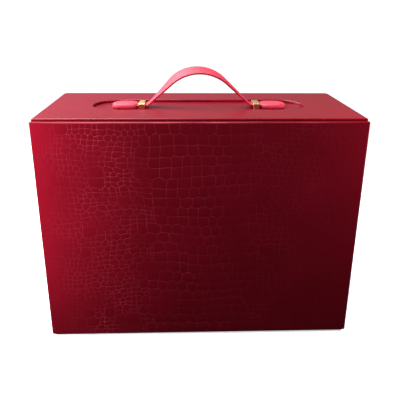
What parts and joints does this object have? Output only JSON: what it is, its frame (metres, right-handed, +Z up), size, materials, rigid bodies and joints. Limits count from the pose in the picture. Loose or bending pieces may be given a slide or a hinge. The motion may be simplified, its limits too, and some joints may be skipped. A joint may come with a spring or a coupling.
{
  "type": "decorative box",
  "caption": "Stiff leather-look keepsake box that stands on its spine, with a drop-down front cover, a hinged top flap and a strap handle that slides in metal keepers.",
  "frame": {"origin": "middle of the footprint on the floor, under the spine, closed and with the handle raised", "axes": "+X to the right of the front cover, +Y to the back, +Z up; the cover's outer face looks along -Y"},
  "size_m": [0.35, 0.157, 0.3061],
  "materials": {
    "crimson_leatherette": "satin",
    "strap_leather": "satin",
    "lining": "matte",
    "board": "matte",
    "gold_metal": "polished",
    "steel": "satin"
  },
  "bodies": {
    "tray": {"spine_board": "board", "spine_wrap": "crimson_leatherette", "spine_back_web": "crimson_leatherette", "back_board": "board", "back_wrap": "crimson_leatherette", "tray_bottom_wall": "board", "tray_top_wall": "board", "tray_left_wall": "board", "tray_right_wall": "board", "tray_back_wall": "board", "top_liner_board": "board", "tray_top_wrap": "crimson_leatherette", "tray_left_wrap": "crimson_leatherette", "tray_right_wrap": "crimson_leatherette", "tray_bottom_rim": "crimson_leatherette", "lining_bottom": "lining", "lining_top": "lining", "lining_left": "lining", "lining_right": "lining", "lining_back": "lining", "steel_discs": "steel", "keeper_left": "gold_metal", "keeper_right": "gold_metal", "keeper_plate_left": "steel", "keeper_plate_right": "steel", "handle_strap": "strap_leather"},
    "cover": {"cover_board": "board", "cover_wrap": "crimson_leatherette", "cover_lining": "lining", "cover_hinge_web": "crimson_leatherette", "flap_hinge_web": "crimson_leatherette"},
    "flap": {"flap_board": "board", "flap_wrap": "crimson_leatherette", "flap_lining": "lining", "flap_magnets": "steel"},
    "handle_end_left": {"handle_end_left": "strap_leather"},
    "handle_end_right": {"handle_end_right": "strap_leather"}
  },
  "joints": [
    {"name": "cover_hinge", "type": "hinge", "parent": "tray", "child": "cover", "pos_m": [0, -0.0758, 0.0027], "axis": [1, 0, 0], "range_deg": [0, 90], "deforming": ["cover_hinge_web"]},
    {"name": "flap_hinge", "type": "hinge", "parent": "cover", "child": "flap", "pos_m": [0, -0.0758, 0.2593], "axis": [1, 0, 0], "range_deg": [0, 90], "deforming": ["flap_hinge_web"]},
    {"name": "handle_right_slide", "type": "slide", "parent": "tray", "child": "handle_end_right", "axis": [1, 0, 0], "range_m": [0, 0.014], "deforming": ["handle_strap"]},
    {"name": "handle_left_slide", "type": "slide", "parent": "tray", "child": "handle_end_left", "axis": [-1, 0, 0], "range_m": [0, 0.014]}
  ],
  "couplings": [
    {"joint": "handle_left_slide", "follows": "handle_right_slide", "ratio": 1}
  ]
}
